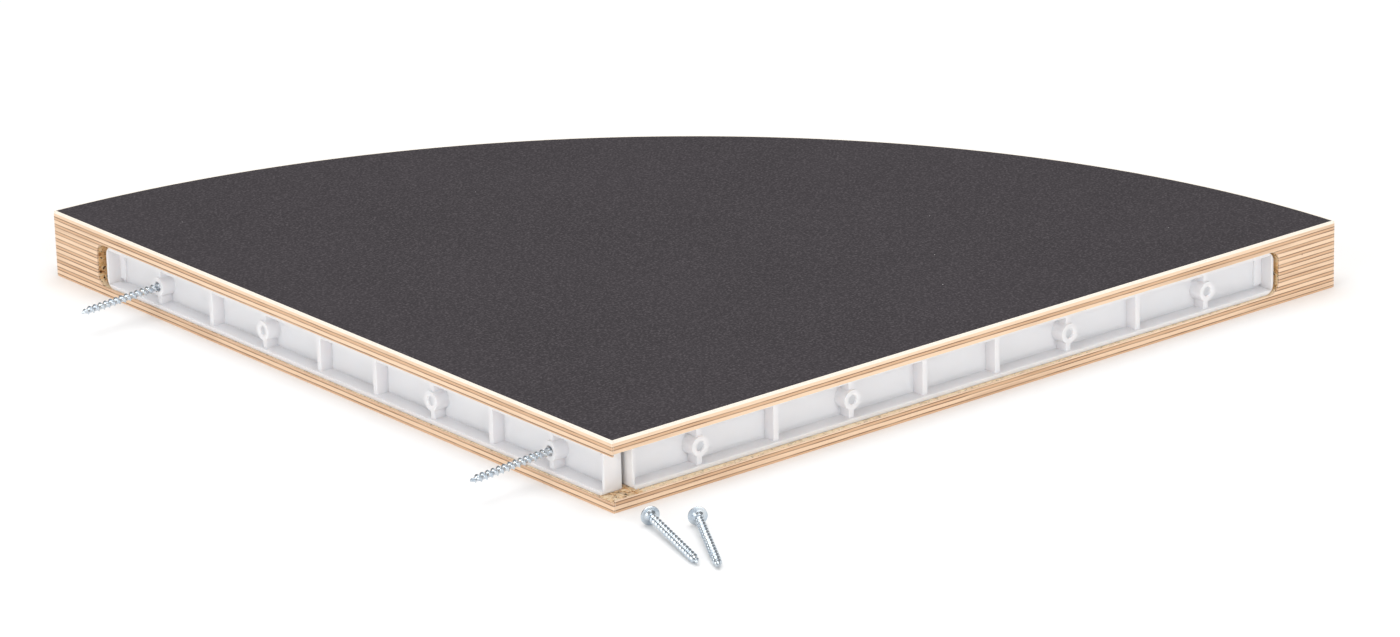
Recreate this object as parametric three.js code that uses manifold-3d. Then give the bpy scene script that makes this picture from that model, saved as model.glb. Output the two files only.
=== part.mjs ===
// Quarter-round riser platform: a chipboard panel with a dark laminate deck, edged in ply-look band,
// and two moulded fixing rails that lie in pockets routed into its straight edges.
// Units are millimetres and +Z is up. The origin is on the underside, at the centre of the square
// that the quarter circle fits in. +X runs along the right edge and +Y along the left edge.
import * as THREE from "three";
import { mergeVertices } from "three/addons/utils/BufferGeometryUtils.js";
import Module from "manifold-3d";

const wasm = await Module();
wasm.setup();

// ---- Driving dimensions ----
const RADIUS = 500; // each straight edge, and the radius of the round edge
const THICKNESS = 38;
const ARC_STEPS = 60; // an arc gets two facets for each step
const CORNER_STEPS = 3; // the same for small round corners

const BAND = 1.0; // thickness of the edge band
const SHEET = 0.8; // thickness of the deck and backing laminates
const GLUE_LINE = 0.1; // gap kept between glued pieces

const POCKET_HEIGHT = 24.6;
const POCKET_END = 458; // closed end of each pocket, from the square corner
const POCKET_END_RADIUS = 6.5;
const LEFT_POCKET = { depth: 17, floor: 4.9 };
const RIGHT_POCKET = { depth: 18.6, floor: 6.2 };

const RAIL = {
  height: 24.2,
  depth: 13,
  cornerEnd: -216, // end nearest the square corner, from the middle of the fixing holes
  farEnd: 221.8,
  pitch: 49.6, // between neighbouring ribs and bosses
  wall: 2.2, // top and bottom walls
  endWall: 1.6,
  farRadius: 5.5, // outer corners at the far end
  cornerRadius: 1.2, // outer corners at the end nearest the square corner
  floorFront: 9.0, // front of the web, from the rail's front face
  floorBack: 10.5,
  ribSetBack: 2.0, // ribs and the corner end wall stop this far behind the front face
  rib: 3.2,
  bossRadius: 5.4,
  bossFront: 0.8,
  holeRadius: 2.9,
  padWidth: 4.5, // raised step on the web at the far end
  padHeight: 1.6,
};
const BOSS_PLACES = [-3.5, -1.5, 1.5, 3.5].map((n) => n * RAIL.pitch);
const RIB_PLACES = [-2.5, -0.5, 0.5, 2.5].map((n) => n * RAIL.pitch);

// Where each rail lies in its pocket: the middle of its holes along the edge, how far its front face
// sits behind the edge at the corner end and at the far end, and the height of its lower side.
const LEFT_RAIL = { middle: 228.5, cornerInset: 2.2, farInset: 1.2, bottom: 5.1 };
const RIGHT_RAIL = { middle: 233.6, cornerInset: 4.9, farInset: 1.8, bottom: 6.4 };

const SCREW = {
  headRadius: 5,
  headHeight: 2.9,
  flange: 0.9,
  recessRadius: 1.7,
  recessDepth: 1.3,
  collarRadius: 2.9,
  collar: 1.4,
  length: 60, // under the head
  coreRadius: 1.55,
  threadRadius: 2.35,
  pitch: 3.4,
  point: 5,
  sides: 10,
};
const SCREW_SEAT_GAP = 0.5; // between the screw head and the rail's web
const SCREW_DROOP = THREE.MathUtils.degToRad(3.4); // loose fit: the tip hangs below the hole's axis

// Loose screws on the ground: place of the head from the square corner, and heading of the tip.
const LOOSE_SCREWS = [
  { name: "loose_screw_front", x: 3.3, y: -24.8, heading: -106.5 },
  { name: "loose_screw_side", x: 20.0, y: -41.0, heading: -119.5 },
];

// ---- Materials ----
const finish = (color, roughness, metalness = 0) =>
  new THREE.MeshStandardMaterial({ color, roughness, metalness });
const CHIPBOARD = finish(0xc7a46b, 0.9);
const DECK = finish(0x494448, 0.6);
const BACKING = finish(0x55504f, 0.65);
const PLY_BAND = finish(0xe4c5a5, 0.55);
const WHITE_PLASTIC = finish(0xe6e5e8, 0.45);
const ZINC = finish(0xc6ccd1, 0.3, 1);

// ---- Solids ----
function solidOf(geometry) {
  const bare = geometry.clone();
  bare.deleteAttribute("normal");
  bare.deleteAttribute("uv");
  const merged = mergeVertices(bare, 1e-4);
  return new wasm.Manifold(
    new wasm.Mesh({
      numProp: 3,
      vertProperties: new Float32Array(merged.attributes.position.array),
      triVerts: new Uint32Array(merged.index.array),
    }),
  );
}

function geometryOf(solid) {
  const mesh = solid.getMesh();
  const places = new Float32Array(mesh.numVert * 3);
  for (let i = 0; i < mesh.numVert; i++)
    places.set(mesh.vertProperties.subarray(i * mesh.numProp, i * mesh.numProp + 3), i * 3);
  const geometry = new THREE.BufferGeometry();
  geometry.setAttribute("position", new THREE.BufferAttribute(places, 3));
  geometry.setIndex(new THREE.BufferAttribute(new Uint32Array(mesh.triVerts), 1));
  geometry.computeVertexNormals();
  return geometry;
}

// Box between two corners.
function box(low, high) {
  const size = high.map((value, axis) => value - low[axis]);
  return new THREE.BoxGeometry(...size).translate(
    ...low.map((value, axis) => value + size[axis] / 2),
  );
}

// Outline in X and Z with round corners, pushed back along +Y from one depth to another.
function plate(outline, from, to) {
  const solid = new THREE.ExtrudeGeometry(outline, {
    depth: to - from,
    bevelEnabled: false,
    curveSegments: CORNER_STEPS,
  });
  return solid.rotateX(Math.PI / 2).translate(0, to, 0);
}

// Rectangle with one corner radius on its low-X side and another on its high-X side.
function roundedOutline(x0, x1, z0, z1, lowRadius, highRadius) {
  const outline = new THREE.Shape();
  outline.moveTo(x0 + lowRadius, z0);
  outline.lineTo(x1 - highRadius, z0);
  if (highRadius > 0) outline.absarc(x1 - highRadius, z0 + highRadius, highRadius, -Math.PI / 2, 0);
  outline.lineTo(x1, z1 - highRadius);
  if (highRadius > 0) outline.absarc(x1 - highRadius, z1 - highRadius, highRadius, 0, Math.PI / 2);
  outline.lineTo(x0 + lowRadius, z1);
  if (lowRadius > 0) outline.absarc(x0 + lowRadius, z1 - lowRadius, lowRadius, Math.PI / 2, Math.PI);
  outline.lineTo(x0, z0 + lowRadius);
  if (lowRadius > 0)
    outline.absarc(x0 + lowRadius, z0 + lowRadius, lowRadius, Math.PI, 1.5 * Math.PI);
  return outline;
}

// ---- Panel ----
// Quarter disc that stops short of both straight edges and of the round one.
function quarterDisc(inset, bottom, top) {
  const radius = RADIUS - inset;
  const start = Math.asin(inset / radius);
  const outline = new THREE.Shape();
  outline.moveTo(inset, inset);
  outline.absarc(0, 0, radius, start, Math.PI / 2 - start);
  outline.lineTo(inset, inset);
  return new THREE.ExtrudeGeometry(outline, {
    depth: top - bottom,
    bevelEnabled: false,
    curveSegments: ARC_STEPS,
  }).translate(0, 0, bottom);
}

// Room routed for one rail, drawn for the right edge; it runs out through the square corner.
function pocketRoom({ depth, floor }) {
  const runOut = -20;
  const outline = roundedOutline(runOut, POCKET_END, floor, floor + POCKET_HEIGHT, 0, POCKET_END_RADIUS);
  return plate(outline, runOut, depth);
}

// The left edge is the right edge mirrored across the diagonal of the square corner.
const MIRROR = new THREE.Matrix4().set(0, 1, 0, 0, 1, 0, 0, 0, 0, 0, 1, 0, 0, 0, 0, 1);
function mirrored(geometry) {
  const loose = geometry.index ? geometry.toNonIndexed() : geometry.clone();
  const turned = loose.applyMatrix4(MIRROR);
  const places = turned.getAttribute("position");
  const swapped = places.array.slice();
  for (let i = 0; i < swapped.length; i += 9)
    for (let axis = 0; axis < 3; axis++)
      [swapped[i + 3 + axis], swapped[i + 6 + axis]] = [swapped[i + 6 + axis], swapped[i + 3 + axis]];
  return new THREE.BufferGeometry().setAttribute("position", new THREE.BufferAttribute(swapped, 3));
}

const rightRoom = solidOf(pocketRoom(RIGHT_POCKET));
const leftRoom = solidOf(mirrored(pocketRoom(LEFT_POCKET)));
const pocketed = (geometry) => geometryOf(solidOf(geometry).subtract(rightRoom).subtract(leftRoom));

function coreBoard() {
  return pocketed(quarterDisc(BAND + GLUE_LINE, SHEET + GLUE_LINE, THICKNESS - SHEET - GLUE_LINE));
}

const innerRadius = RADIUS - BAND;
const straightEnd = Math.sqrt((innerRadius - GLUE_LINE) ** 2 - BAND ** 2);

function leftBand() {
  return pocketed(box([0, 0, 0], [BAND, straightEnd, THICKNESS]));
}

function rightBand() {
  return pocketed(box([BAND + GLUE_LINE, 0, 0], [straightEnd, BAND, THICKNESS]));
}

function roundBand() {
  const outline = new THREE.Shape();
  outline.absarc(0, 0, RADIUS, 0, Math.PI / 2);
  outline.absarc(0, 0, innerRadius, Math.PI / 2, 0, true);
  return new THREE.ExtrudeGeometry(outline, {
    depth: THICKNESS,
    bevelEnabled: false,
    curveSegments: ARC_STEPS,
  });
}

// ---- Fixing rail ----
// Drawn for the right edge: X along the edge from the middle of the holes, Y from its open front face
// back into the panel, Z up from its lower side.
function railGeometry() {
  const r = RAIL;
  const outer = roundedOutline(r.cornerEnd, r.farEnd, 0, r.height, r.cornerRadius, r.farRadius);
  const inner = roundedOutline(
    r.cornerEnd + r.endWall,
    r.farEnd - r.endWall,
    r.wall,
    r.height - r.wall,
    0.4,
    r.farRadius - r.endWall,
  );
  const past = 1; // tools run this far past a face
  let rail = solidOf(plate(outer, 0, r.depth))
    .subtract(solidOf(plate(inner, -past, r.floorFront)))
    .subtract(solidOf(plate(inner, r.floorBack, r.depth + past)))
    .subtract(
      solidOf(
        box(
          [r.cornerEnd - past, -past, r.wall],
          [r.cornerEnd + 2 * r.endWall, r.ribSetBack, r.height - r.wall],
        ),
      ),
    );
  const between = [r.wall / 2, r.height - r.wall / 2];
  for (const x of RIB_PLACES) {
    const low = x - r.rib / 2;
    const rib = box([low, r.ribSetBack, between[0]], [low + r.rib, r.depth - 0.5, between[1]]);
    rail = rail.add(solidOf(rib));
  }
  for (const x of BOSS_PLACES) {
    const low = x - r.rib / 2;
    const boss = new THREE.CylinderGeometry(r.bossRadius, r.bossRadius, r.floorBack - r.bossFront, 32)
      .translate(x, (r.floorBack + r.bossFront) / 2, r.height / 2);
    const web = box([low, r.ribSetBack, between[0]], [low + r.rib, r.floorBack, between[1]]);
    rail = rail.add(solidOf(web)).add(solidOf(boss));
  }
  const padEnd = r.farEnd - r.endWall / 2;
  rail = rail.add(
    solidOf(
      box(
        [padEnd - r.endWall - r.padWidth, r.floorFront - r.padHeight, r.wall + 2],
        [padEnd, r.floorBack, r.height - r.wall - 2],
      ),
    ),
  );
  for (const x of BOSS_PLACES) {
    const hole = new THREE.CylinderGeometry(r.holeRadius, r.holeRadius, r.depth + 2 * past, 24)
      .translate(x, r.depth / 2, r.height / 2);
    rail = rail.subtract(solidOf(hole));
  }
  return geometryOf(rail);
}

// Small turn that takes the rail's front face from one inset to the other.
function railSkew({ cornerInset, farInset }) {
  return Math.atan2(farInset - cornerInset, RAIL.farEnd - RAIL.cornerEnd);
}

function middleInset(seat) {
  const share = -RAIL.cornerEnd / (RAIL.farEnd - RAIL.cornerEnd);
  return seat.cornerInset + share * (seat.farInset - seat.cornerInset);
}

// ---- Screws ----
// Lathe profile along +Y: head at the origin's negative side, under-head face at Y = 0, point at the far end.
function screwGeometry() {
  const s = SCREW;
  const dome = s.headHeight - s.flange;
  const profile = [
    [0, -s.headHeight + s.recessDepth],
    [s.recessRadius * 0.8, -s.headHeight + s.recessDepth],
    [s.recessRadius, -s.headHeight],
    [s.headRadius * 0.55, -s.headHeight + 0.1],
    [s.headRadius * 0.8, -s.flange - dome * 0.62],
    [s.headRadius * 0.9, -s.flange],
    [s.headRadius, -s.flange * 0.85],
    [s.headRadius, -0.15],
    [s.headRadius - 0.25, 0],
    [s.collarRadius, 0],
    [s.coreRadius, s.collar],
  ];
  const threadEnd = s.length - s.point * 0.5;
  for (let y = s.collar + s.pitch * 0.6; y < threadEnd; y += s.pitch) {
    const left = s.length - y;
    const taper = left < s.point ? left / s.point : 1;
    profile.push([s.coreRadius * taper, y - s.pitch * 0.28]);
    profile.push([s.threadRadius * taper, y]);
    profile.push([s.coreRadius * taper, y + s.pitch * 0.28]);
  }
  profile.push([0, s.length]);
  return new THREE.LatheGeometry(profile.map(([r, y]) => new THREE.Vector2(r, y)), s.sides);
}

// ---- Assembly ----
function piece(name, geometry, material) {
  const mesh = new THREE.Mesh(geometry, material);
  mesh.name = name;
  return mesh;
}

const platform = new THREE.Group();
platform.position.set(-RADIUS / 2, -RADIUS / 2, 0); // pieces are drawn from the square corner

platform.add(piece("core_board", coreBoard(), CHIPBOARD));
platform.add(
  piece("deck_laminate", quarterDisc(BAND + GLUE_LINE, THICKNESS - SHEET, THICKNESS), DECK),
);
platform.add(piece("backing_laminate", quarterDisc(BAND + GLUE_LINE, 0, SHEET), BACKING));
platform.add(piece("edge_band_left", leftBand(), PLY_BAND));
platform.add(piece("edge_band_right", rightBand(), PLY_BAND));
platform.add(piece("edge_band_round", roundBand(), PLY_BAND));

const rail = railGeometry();
const rightRail = piece("right_rail", rail, WHITE_PLASTIC);
rightRail.position.set(RIGHT_RAIL.middle, middleInset(RIGHT_RAIL), RIGHT_RAIL.bottom);
rightRail.rotation.z = railSkew(RIGHT_RAIL);
platform.add(rightRail);

// Everything in this group is drawn as for the right edge and lands mirrored on the left edge.
const leftSide = new THREE.Group();
leftSide.position.set(middleInset(LEFT_RAIL), LEFT_RAIL.middle, LEFT_RAIL.bottom);
leftSide.rotation.z = -railSkew(LEFT_RAIL);
const leftRail = piece("left_rail", mirrored(rail), WHITE_PLASTIC);
leftSide.add(leftRail);

const screw = screwGeometry();
const STUCK_SCREWS = [
  { name: "rail_screw_corner", place: BOSS_PLACES[0] },
  { name: "rail_screw_far", place: BOSS_PLACES[3] },
];
for (const { name, place } of STUCK_SCREWS) {
  const holder = new THREE.Group(); // centred on the boss, half way along its hole
  holder.position.set((RAIL.bossFront + RAIL.floorBack) / 2, place, RAIL.height / 2);
  holder.rotation.y = -SCREW_DROOP;
  const stuck = piece(name, screw, ZINC);
  stuck.rotation.z = Math.PI / 2; // the point leaves through the open front, along -X
  stuck.position.x = (RAIL.floorBack - RAIL.bossFront) / 2 + SCREW_SEAT_GAP;
  holder.add(stuck);
  leftSide.add(holder);
}
platform.add(leftSide);

// A screw on the ground rests on the rim of its head and on the thread near its point.
for (const { name, x, y, heading } of LOOSE_SCREWS) {
  const holder = new THREE.Group();
  const reach = SCREW.length - SCREW.point;
  const dip = Math.asin((SCREW.headRadius - SCREW.threadRadius) / reach);
  holder.position.set(x, y, SCREW.headRadius + 0.12);
  holder.rotation.z = THREE.MathUtils.degToRad(heading - 90);
  const lying = piece(name, screw, ZINC);
  lying.rotation.x = -dip;
  holder.add(lying);
  platform.add(holder);
}

export default platform;
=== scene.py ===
"""Quarter-round riser platform: a laminated board, two moulded fixing rails and four screws.

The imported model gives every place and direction. Pieces are shaped here in millimetres and land in
the model's frame in metres, each on the body that it moves with.
"""

import logging
import math
import random
from dataclasses import dataclass
from enum import Enum
from typing import Callable, Iterable, Sequence

import bmesh
import bpy
from bmesh.types import BMEdge, BMesh, BMFace, BMVert
from bpy.types import Material, Node, NodeSocket, NodeTree, Object, Scene
from mathutils import Matrix, Vector


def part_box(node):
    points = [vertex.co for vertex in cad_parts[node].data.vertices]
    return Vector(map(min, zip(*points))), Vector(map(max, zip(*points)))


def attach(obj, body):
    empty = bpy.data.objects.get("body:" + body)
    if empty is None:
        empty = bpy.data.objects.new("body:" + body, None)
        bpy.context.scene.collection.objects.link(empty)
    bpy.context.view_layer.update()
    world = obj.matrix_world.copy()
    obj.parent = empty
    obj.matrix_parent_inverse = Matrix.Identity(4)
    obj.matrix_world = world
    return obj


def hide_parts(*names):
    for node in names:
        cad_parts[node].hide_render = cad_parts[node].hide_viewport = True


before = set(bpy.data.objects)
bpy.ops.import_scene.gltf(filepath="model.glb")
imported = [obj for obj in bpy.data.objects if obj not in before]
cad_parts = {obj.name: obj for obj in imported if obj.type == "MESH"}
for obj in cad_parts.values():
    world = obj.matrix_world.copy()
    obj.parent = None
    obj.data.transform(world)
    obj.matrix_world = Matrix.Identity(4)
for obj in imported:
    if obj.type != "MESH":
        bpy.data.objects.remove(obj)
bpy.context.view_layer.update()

LOG = logging.getLogger("riser")
MM = 0.001
SCREW_TURNS = {  # degrees about each screw's own axis
    "rail_screw_corner": 20, "rail_screw_far": 140, "loose_screw_front": 65, "loose_screw_side": 250,
}
NEAR = 0.01  # mm, how close to a plane counts as on it
ALONG = 0.9  # least share of a unit direction that counts as along an axis

Colour = tuple[float, float, float]
Profile = Sequence[tuple[float, float]]
Grain = tuple[float, float, float]  # waves per metre along X, Y and Z


# ---------------------------------------------------------------- Shop tools


class Axis(Enum):
    """The three directions of the model's frame."""

    X = Vector((1, 0, 0))
    Y = Vector((0, 1, 0))
    Z = Vector((0, 0, 1))


class Side(Enum):
    """The two straight edges of the board, with what is fitted in each."""

    LEFT = "left"
    RIGHT = "right"

    @property
    def matrix(self) -> Matrix:
        """Takes a shape drawn for the right edge to this edge."""
        if self is Side.RIGHT:
            return Matrix.Identity(4)
        return Matrix(((0, 1, 0, 0), (1, 0, 0, 0), (0, 0, 1, 0), (0, 0, 0, 1)))


def millimetres(node: str) -> tuple[Vector, Vector]:
    """Lowest and highest corners of a CAD node, in millimetres."""
    low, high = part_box(node)
    return low / MM, high / MM


def faces_where(bm: BMesh, test: Callable[[Vector], bool]) -> list[BMFace]:
    """Faces whose middle passes a test."""
    return [face for face in bm.faces if test(face.calc_center_median())]


def edges_where(bm: BMesh, test: Callable[[Vector, Vector], bool]) -> list[BMEdge]:
    """Edges whose middle and direction pass a test.

    Args:
        bm: The mesh.
        test: Takes an edge's middle and its unit direction.

    Returns:
        The edges that pass.
    """
    found = []
    for edge in bm.edges:
        start, end = (vert.co for vert in edge.verts)
        span = end - start
        if span.length > 0 and test((start + end) / 2, span.normalized()):
            found.append(edge)
    return found


def whole(bm: BMesh) -> list[object]:
    """Everything in a mesh, as the operators that cut and spin take it."""
    return [*bm.verts, *bm.edges, *bm.faces]


def block(size: Sequence[float], middle: Sequence[float] = (0, 0, 0)) -> BMesh:
    """Makes a plain box.

    Args:
        size: Its length along X, Y and Z.
        middle: Where its middle stands.

    Returns:
        The mesh.
    """
    bm = bmesh.new()
    bmesh.ops.create_cube(bm, size=1.0)
    bmesh.ops.scale(bm, verts=bm.verts, vec=size)
    bmesh.ops.translate(bm, verts=bm.verts, vec=middle)
    return bm


def draw_in(faces: Sequence[BMFace], by: float) -> None:
    """Draws the outline of an upright patch in by a small amount all round."""
    verts = {vert for face in faces for vert in face.verts}
    middle = sum((vert.co for vert in verts), Vector()) / len(verts)
    for vert in verts:
        away = vert.co - middle
        vert.co.x -= math.copysign(by, away.x)
        vert.co.z -= math.copysign(by, away.z)


def cut(bm: BMesh, axis: Axis, place: float) -> None:
    """Scribes a line right round a mesh, on the plane across an axis at a place along it."""
    bmesh.ops.bisect_plane(bm, geom=whole(bm), dist=1e-5, plane_co=axis.value * place, plane_no=axis.value)


def push(bm: BMesh, faces: Sequence[BMFace], move: Vector,
         leave: bool = False) -> list[BMFace]:
    """Extrudes a patch of faces.

    Args:
        bm: The mesh.
        faces: The patch.
        move: How far the patch goes.
        leave: Whether the patch also stays where it was, as it does on a loose sheet.

    Returns:
        The patch's faces in their new place.
    """
    made = bmesh.ops.extrude_face_region(bm, geom=faces)["geom"]
    if not leave:
        bmesh.ops.delete(bm, geom=faces, context="FACES")
    verts = [item for item in made if isinstance(item, BMVert)]
    bmesh.ops.translate(bm, verts=verts, vec=move)
    return [item for item in made if isinstance(item, BMFace)]


def round_over(bm: BMesh, edges: Sequence[BMEdge], radius: float, segments: int) -> None:
    """Rounds edges over in a number of flats, or fillets them where they are inside corners."""
    bmesh.ops.bevel(
        bm, geom=edges, offset=radius, offset_type="OFFSET", segments=segments, profile=0.5,
        affect="EDGES", clamp_overlap=True, material=-1,
    )


def merged(bm: BMesh, distance: float = 1e-3) -> None:
    """Joins doubled points, drops slivers and turns every face outwards."""
    bmesh.ops.remove_doubles(bm, verts=bm.verts, dist=distance)
    bmesh.ops.dissolve_degenerate(bm, dist=distance / 2, edges=bm.edges)
    bmesh.ops.recalc_face_normals(bm, faces=bm.faces)


def turned(bm: BMesh, profile: Profile, steps: int) -> None:
    """Spins a profile once round the Y axis.

    Args:
        bm: The mesh that the turned shape is added to.
        profile: Radius and place along Y of each point.
        steps: Flats in a full turn.
    """
    verts = [bm.verts.new((radius, place, 0)) for radius, place in profile]
    edges = [bm.edges.new(pair) for pair in zip(verts, verts[1:])]
    bmesh.ops.spin(
        bm, geom=[*verts, *edges], cent=(0, 0, 0), axis=Axis.Y.value, angle=math.tau,
        steps=steps, use_merge=True,
    )


def as_object(bm: BMesh, name: str, place: Matrix) -> Object:
    """Turns a mesh drawn in millimetres into an object in the model's frame.

    Args:
        bm: The mesh, which is freed.
        name: Name of the new object.
        place: Where it lands, in millimetres.

    Returns:
        The object, at the origin, with its place in its mesh.
    """
    bm.transform(Matrix.Scale(MM, 4) @ place)
    if place.determinant() < 0:
        bmesh.ops.reverse_faces(bm, faces=bm.faces)
    mesh = bpy.data.meshes.new(name)
    bm.to_mesh(mesh)
    bm.free()
    piece = bpy.data.objects.new(name, mesh)
    bpy.context.scene.collection.objects.link(piece)
    return piece


def carve(piece: Object, tool: Object, operation: str) -> None:
    """Joins a tool's shape to a piece, or cuts it away, and throws the tool away.

    Args:
        piece: The piece that is worked on.
        tool: A closed shape.
        operation: UNION or DIFFERENCE.
    """
    step = piece.modifiers.new("carve", "BOOLEAN")
    step.operation = operation
    step.solver = "EXACT"
    step.object = tool
    graph = bpy.context.evaluated_depsgraph_get()
    result = bpy.data.meshes.new_from_object(piece.evaluated_get(graph))
    piece.modifiers.clear()
    piece.data = result
    bpy.data.objects.remove(tool)


def soften(piece: Object, radius: float, segments: int = 2, angle: float = 30) -> None:
    """Gives a piece small rounded arrises and smooth shading that keeps its flats flat.

    Args:
        piece: The piece.
        radius: Radius of the arrises, in millimetres.
        segments: Flats in each.
        angle: Edges that fold less than this, in degrees, stay as they are.
    """
    bevel = piece.modifiers.new("arrises", "BEVEL")
    bevel.width = radius * MM
    bevel.segments = segments
    bevel.limit_method = "ANGLE"
    bevel.angle_limit = math.radians(angle)
    bevel.use_clamp_overlap = True
    bevel.miter_outer = "MITER_ARC"
    piece.data.shade_smooth()
    piece.modifiers.new("flats", "WEIGHTED_NORMAL").keep_sharp = True


def fit(piece: Object, body: str, slot: str, finish: Material, *nodes: str) -> None:
    """Dresses a finished piece and puts it on its body.

    Args:
        piece: The piece, in place.
        body: The body that it moves with.
        slot: The record's material slot. Not used.
        finish: Its material.
        nodes: The CAD nodes that it stands for.
    """
    piece.data.materials.clear()
    piece.data.materials.append(finish)
    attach(piece, body)
    if nodes:
        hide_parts(*nodes)
    LOG.info("%s rides on %s, %d faces", piece.name, body, len(piece.data.polygons))


# ---------------------------------------------------------------- Shader groups


class Shader:
    """Builds one node tree, a material's or a group's, by short calls."""

    def __init__(self, tree: NodeTree) -> None:
        """Starts on an empty tree."""
        self.tree = tree

    def node(self, kind: str, **settings: object) -> Node:
        """Adds a node.

        Args:
            kind: Blender's name for the node type, without its ShaderNode prefix.
            settings: Properties to set on it.

        Returns:
            The new node.
        """
        prefix = "" if kind.startswith("Node") else "ShaderNode"
        made = self.tree.nodes.new(prefix + kind)
        for key, value in settings.items():
            setattr(made, key, value)
        return made

    def give(self, socket: NodeSocket, value: object) -> None:
        """Links an input to a socket, or sets its value."""
        if isinstance(value, NodeSocket):
            self.tree.links.new(value, socket)
        else:
            socket.default_value = value

    def feed(self, node: Node, **values: object) -> Node:
        """Links or sets a node's inputs, by name, with underscores for spaces.

        Args:
            node: The node.
            values: What each input gets.

        Returns:
            The same node.
        """
        for key, value in values.items():
            self.give(node.inputs[key.replace("_", " ")], value)
        return node

    def maths(self, operation: str, *values: object, clamp: bool = False) -> NodeSocket:
        """Adds a Math node.

        Args:
            operation: Its operation.
            values: Numbers or sockets, in order.
            clamp: Whether the result is kept between 0 and 1.

        Returns:
            Its result.
        """
        made = self.node("Math", operation=operation, use_clamp=clamp)
        for socket, value in zip(made.inputs, values):
            self.give(socket, value)
        return made.outputs[0]

    def blend(self, share: object, first: object, second: object) -> NodeSocket:
        """Mixes two colours.

        Args:
            share: Share of the second, from 0 to 1.
            first: A colour or a socket.
            second: A colour or a socket.

        Returns:
            The mixed colour.
        """
        made = self.node("Mix", data_type="RGBA")
        for socket, value in ((made.inputs[0], share), (made.inputs[6], first), (made.inputs[7], second)):
            self.give(socket, (*value, 1) if isinstance(value, (tuple, list)) else value)
        return made.outputs[2]

    def tint(self, tone: object, mask: NodeSocket, strength: float, colour: Sequence[float]) -> NodeSocket:
        """Lays a colour over a tone where a mask says, at part strength."""
        return self.blend(self.maths("MULTIPLY", mask, strength), tone, colour)

    def ramp(self, value: NodeSocket, low: float, high: float) -> NodeSocket:
        """Smooth step from 0 at low to 1 at high."""
        made = self.node("MapRange", interpolation_type="SMOOTHSTEP")
        self.feed(made, Value=value, From_Min=low, From_Max=high)
        return made.outputs[0]

    def noise(self, place: object, scale: float, detail: float = 2, roughness: float = 0.5) -> NodeSocket:
        """Fractal noise at a place, from 0 to 1."""
        made = self.node("TexNoise")
        self.feed(made, Vector=place, Scale=scale, Detail=detail, Roughness=roughness)
        return made.outputs[0]

    def stretched(self, place: object, scale: Grain) -> NodeSocket:
        """A place with each direction scaled on its own."""
        made = self.node("Mapping")
        self.feed(made, Vector=place, Scale=scale)
        return made.outputs[0]

    def grain(self, place: object, scale: Grain, detail: float = 2, roughness: float = 0.5) -> NodeSocket:
        """Fractal noise that is drawn out more along one direction than another."""
        return self.noise(self.stretched(place, scale), 1.0, detail, roughness)

    def group(self, tree: NodeTree, **values: object) -> Node:
        """Places a shared group, with its inputs given by name."""
        return self.feed(self.node("Group", node_tree=tree), **values)

    def dents(self, height: NodeSocket, depth: float, under: object = None) -> NodeSocket:
        """Bump.

        Args:
            height: Height from 0 to 1.
            depth: What 1 stands for, in millimetres.
            under: A normal that this bump is laid over.

        Returns:
            The bumped normal.
        """
        made = self.node("Bump")
        self.feed(made, Height=height, Distance=depth * MM, Strength=1.0)
        if under is not None:
            self.feed(made, Normal=under)
        return made.outputs[0]


def new_group(name: str, inputs: dict[str, float], outputs: Iterable[str]) -> tuple[Shader, Node, Node]:
    """Starts a shared shader group that reads Object coordinates itself.

    Args:
        name: Its name.
        inputs: Its number inputs and their first values.
        outputs: Its number outputs.

    Returns:
        The builder for its tree, its input node and its output node.
    """
    tree = bpy.data.node_groups.new(name, "ShaderNodeTree")
    for key, value in inputs.items():
        socket = tree.interface.new_socket(name=key, in_out="INPUT", socket_type="NodeSocketFloat")
        socket.default_value = value
    for key in outputs:
        tree.interface.new_socket(name=key, in_out="OUTPUT", socket_type="NodeSocketFloat")
    shader = Shader(tree)
    return shader, shader.node("NodeGroupInput"), shader.node("NodeGroupOutput")


def speck_group() -> NodeTree:
    """Sparse round specks: bits of dust, pits and pale grains.

    Returns:
        A group with a Mask that is 1 on a speck.
    """
    shader, given, result = new_group("Specks", {"Spacing": 4.0, "Size": 0.1, "Share": 0.3}, ["Mask"])
    place = shader.node("TexCoord").outputs["Object"]
    cells = shader.node("TexVoronoi", feature="F1")
    per_metre = shader.maths("DIVIDE", 1 / MM, given.outputs["Spacing"])
    shader.feed(cells, Vector=place, Scale=per_metre, Randomness=1.0)
    reach = shader.maths("DIVIDE", given.outputs["Size"], given.outputs["Spacing"])
    near = shader.maths("LESS_THAN", cells.outputs["Distance"], reach)
    pick = shader.node("SeparateColor")
    shader.feed(pick, Color=cells.outputs["Color"])
    chosen = shader.maths("LESS_THAN", pick.outputs[0], given.outputs["Share"])
    shader.feed(result, Mask=shader.maths("MULTIPLY", near, chosen))
    return shader.tree


def mottle_group() -> NodeTree:
    """Soft cloudy variation at one size, for tone and gloss.

    Returns:
        A group with a Value around 0.5.
    """
    shader, given, result = new_group("Mottle", {"Size": 20.0, "Contrast": 1.0}, ["Value"])
    place = shader.node("TexCoord").outputs["Object"]
    per_metre = shader.maths("DIVIDE", 1 / MM, given.outputs["Size"])
    cloud = shader.noise(place, per_metre, detail=3)
    centred = shader.maths("SUBTRACT", cloud, 0.5)
    spread = shader.maths("MULTIPLY", centred, given.outputs["Contrast"])
    shader.feed(result, Value=shader.maths("ADD", spread, 0.5, clamp=True))
    return shader.tree


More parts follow.
